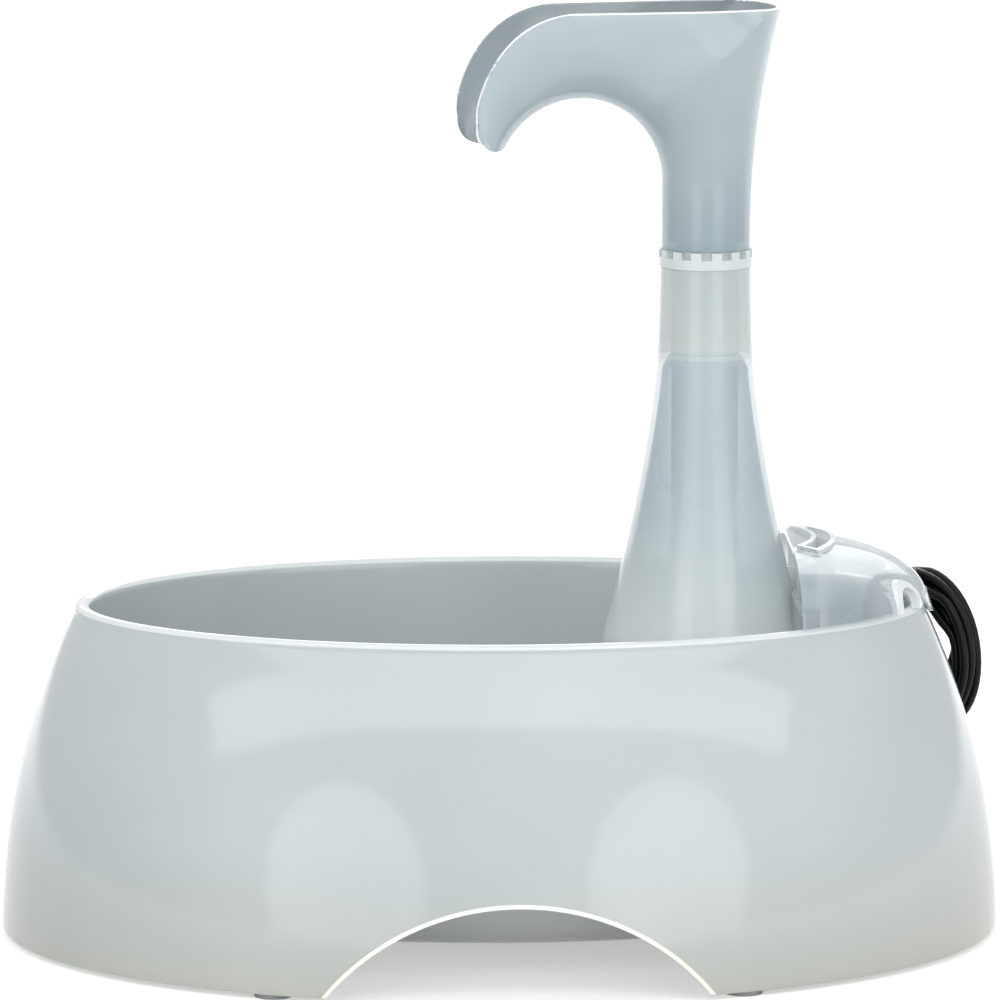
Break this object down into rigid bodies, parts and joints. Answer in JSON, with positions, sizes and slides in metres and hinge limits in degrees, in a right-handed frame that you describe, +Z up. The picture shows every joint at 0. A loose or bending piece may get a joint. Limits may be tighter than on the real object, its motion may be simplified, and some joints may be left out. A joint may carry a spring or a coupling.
{
  "type": "pet water fountain",
  "caption": "Oval double-walled pet water bowl with a clear tower, open gooseneck spout on a swivel collar, submersible pump, curved filter and a low-voltage cord.",
  "frame": {"origin": "middle of the oval bowl, at the underside of its rubber feet", "axes": "+X along the bowl's long axis towards the tower, +Y towards the back where the cord lies, +Z up"},
  "size_m": [0.352, 0.2541, 0.327],
  "materials": {
    "bowl_plastic": "injection moulded milky translucent polypropylene, polished tool",
    "tower_plastic": "natural translucent polypropylene, polished tool",
    "spout_plastic": "natural translucent polypropylene, faint blue",
    "collar_plastic": "milky polypropylene",
    "riser_plastic": "milky extruded tube",
    "seal_rubber": "clear silicone",
    "foot_rubber": "moulded grey rubber",
    "pump_plastic": "fine spark texture",
    "impeller_plastic": "moulded acetal",
    "magnet": "sintered ferrite",
    "shaft_ceramic": "ground alumina",
    "sponge": "open cell foam",
    "dial_plastic": "moulded, fine texture",
    "filter_plastic": "moulded frame",
    "filter_fibre": "white polyester floss",
    "carbon": "carbon loaded foam",
    "cord_rubber": "smooth PVC jacket",
    "tie_plastic": "flat wire tie",
    "plug_metal": "nickel plated brass"
  },
  "bodies": {
    "root": {"basin": "bowl_plastic", "foot_pad_1": "foot_rubber", "foot_pad_2": "foot_rubber", "foot_pad_3": "foot_rubber", "foot_pad_4": "foot_rubber", "riser_tube": "riser_plastic", "riser_seal": "seal_rubber", "riser_adapter": "foot_rubber", "pump_body": "pump_plastic", "volute_cover": "pump_plastic", "rotor_shaft": "shaft_ceramic", "shaft_bush_front": "foot_rubber", "shaft_bush_rear": "foot_rubber", "suction_cup_1": "foot_rubber", "suction_cup_2": "foot_rubber", "suction_cup_3": "foot_rubber", "suction_cup_4": "foot_rubber", "cord_gland": "foot_rubber", "cord_lead": "cord_rubber", "cord_coil": "cord_rubber", "cord_tail": "cord_rubber", "cord_tie": "tie_plastic", "plug_body": "cord_rubber", "plug_barrel": "plug_metal"},
    "rotor": {"impeller": "impeller_plastic", "rotor_magnet": "magnet"},
    "intake": {"intake_cover": "pump_plastic", "intake_sponge": "sponge"},
    "dial": {"flow_dial": "dial_plastic"},
    "tower": {"tower": "tower_plastic"},
    "hood": {"hood": "tower_plastic"},
    "filter": {"filter_frame": "filter_plastic", "filter_pad": "filter_fibre", "carbon_bed": "carbon"},
    "collar": {"swivel_collar": "collar_plastic"},
    "spout": {"spout": "spout_plastic"}
  },
  "joints": [
    {"name": "tower_lift", "type": "slide", "parent": "root", "child": "tower", "axis": [0, 0, 1], "range_m": [0, 0.07]},
    {"name": "hood_lift", "type": "slide", "parent": "tower", "child": "hood", "axis": [0, 0, 1], "range_m": [0, 0.03]},
    {"name": "filter_lift", "type": "slide", "parent": "hood", "child": "filter", "axis": [0, 0, 1], "range_m": [0, 0.08]},
    {"name": "spout_swivel", "type": "hinge", "parent": "tower", "child": "collar", "pos_m": [0.072, 0, 0.239], "axis": [0, 0, 1], "range_deg": [-71, 49]},
    {"name": "spout_lift", "type": "slide", "parent": "collar", "child": "spout", "axis": [0, 0, 1], "range_m": [0, 0.025]},
    {"name": "rotor_spin", "type": "hinge", "parent": "root", "child": "rotor", "pos_m": [0.08, 0, 0.034], "axis": [1, 0, 0], "continuous": true},
    {"name": "intake_slide", "type": "slide", "parent": "root", "child": "intake", "axis": [-1, 0, 0], "range_m": [0, 0.005]},
    {"name": "dial_turn", "type": "hinge", "parent": "intake", "child": "dial", "pos_m": [0.0505, 0, 0.0408], "axis": [1, 0, 0], "range_deg": [0, 90]}
  ]
}
